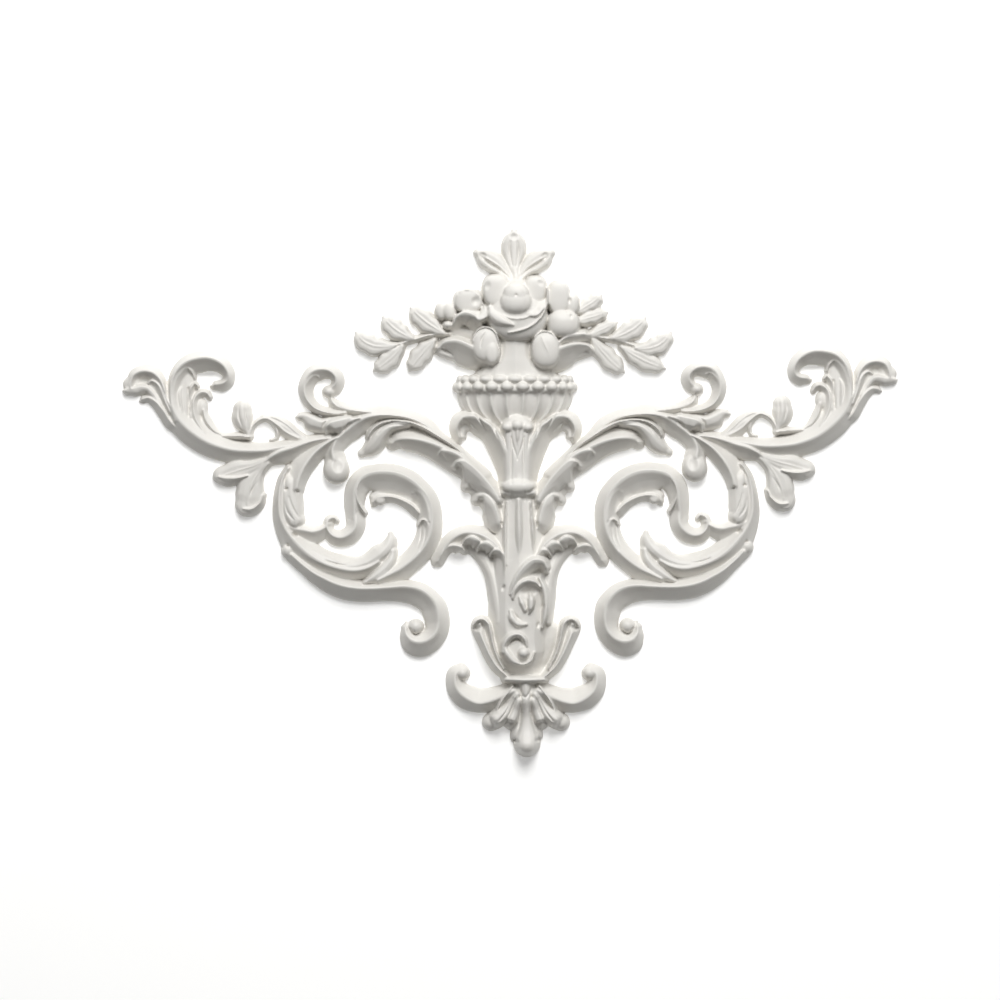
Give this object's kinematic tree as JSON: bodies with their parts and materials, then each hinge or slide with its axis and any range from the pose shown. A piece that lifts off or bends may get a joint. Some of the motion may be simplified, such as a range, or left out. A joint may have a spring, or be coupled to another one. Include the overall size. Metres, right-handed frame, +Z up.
{
  "type": "wall applique ornament",
  "caption": "Cast wall ornament of a flower urn on a leafy stem between two scrolled acanthus wings, flat at the back, to be fixed on a wall or panel.",
  "frame": {"origin": "on the flat back of the stem, just under the urn's collar, in the plane of the wall", "axes": "+X along the width to the right as seen from the front, +Y into the wall, +Z up"},
  "size_m": [0.768, 0.044, 0.5265],
  "materials": {
    "casting": "high-density polyurethane foam casting, primed warm white, satin matte"
  },
  "bodies": {
    "root": {"applique": "casting"}
  },
  "joints": []
}
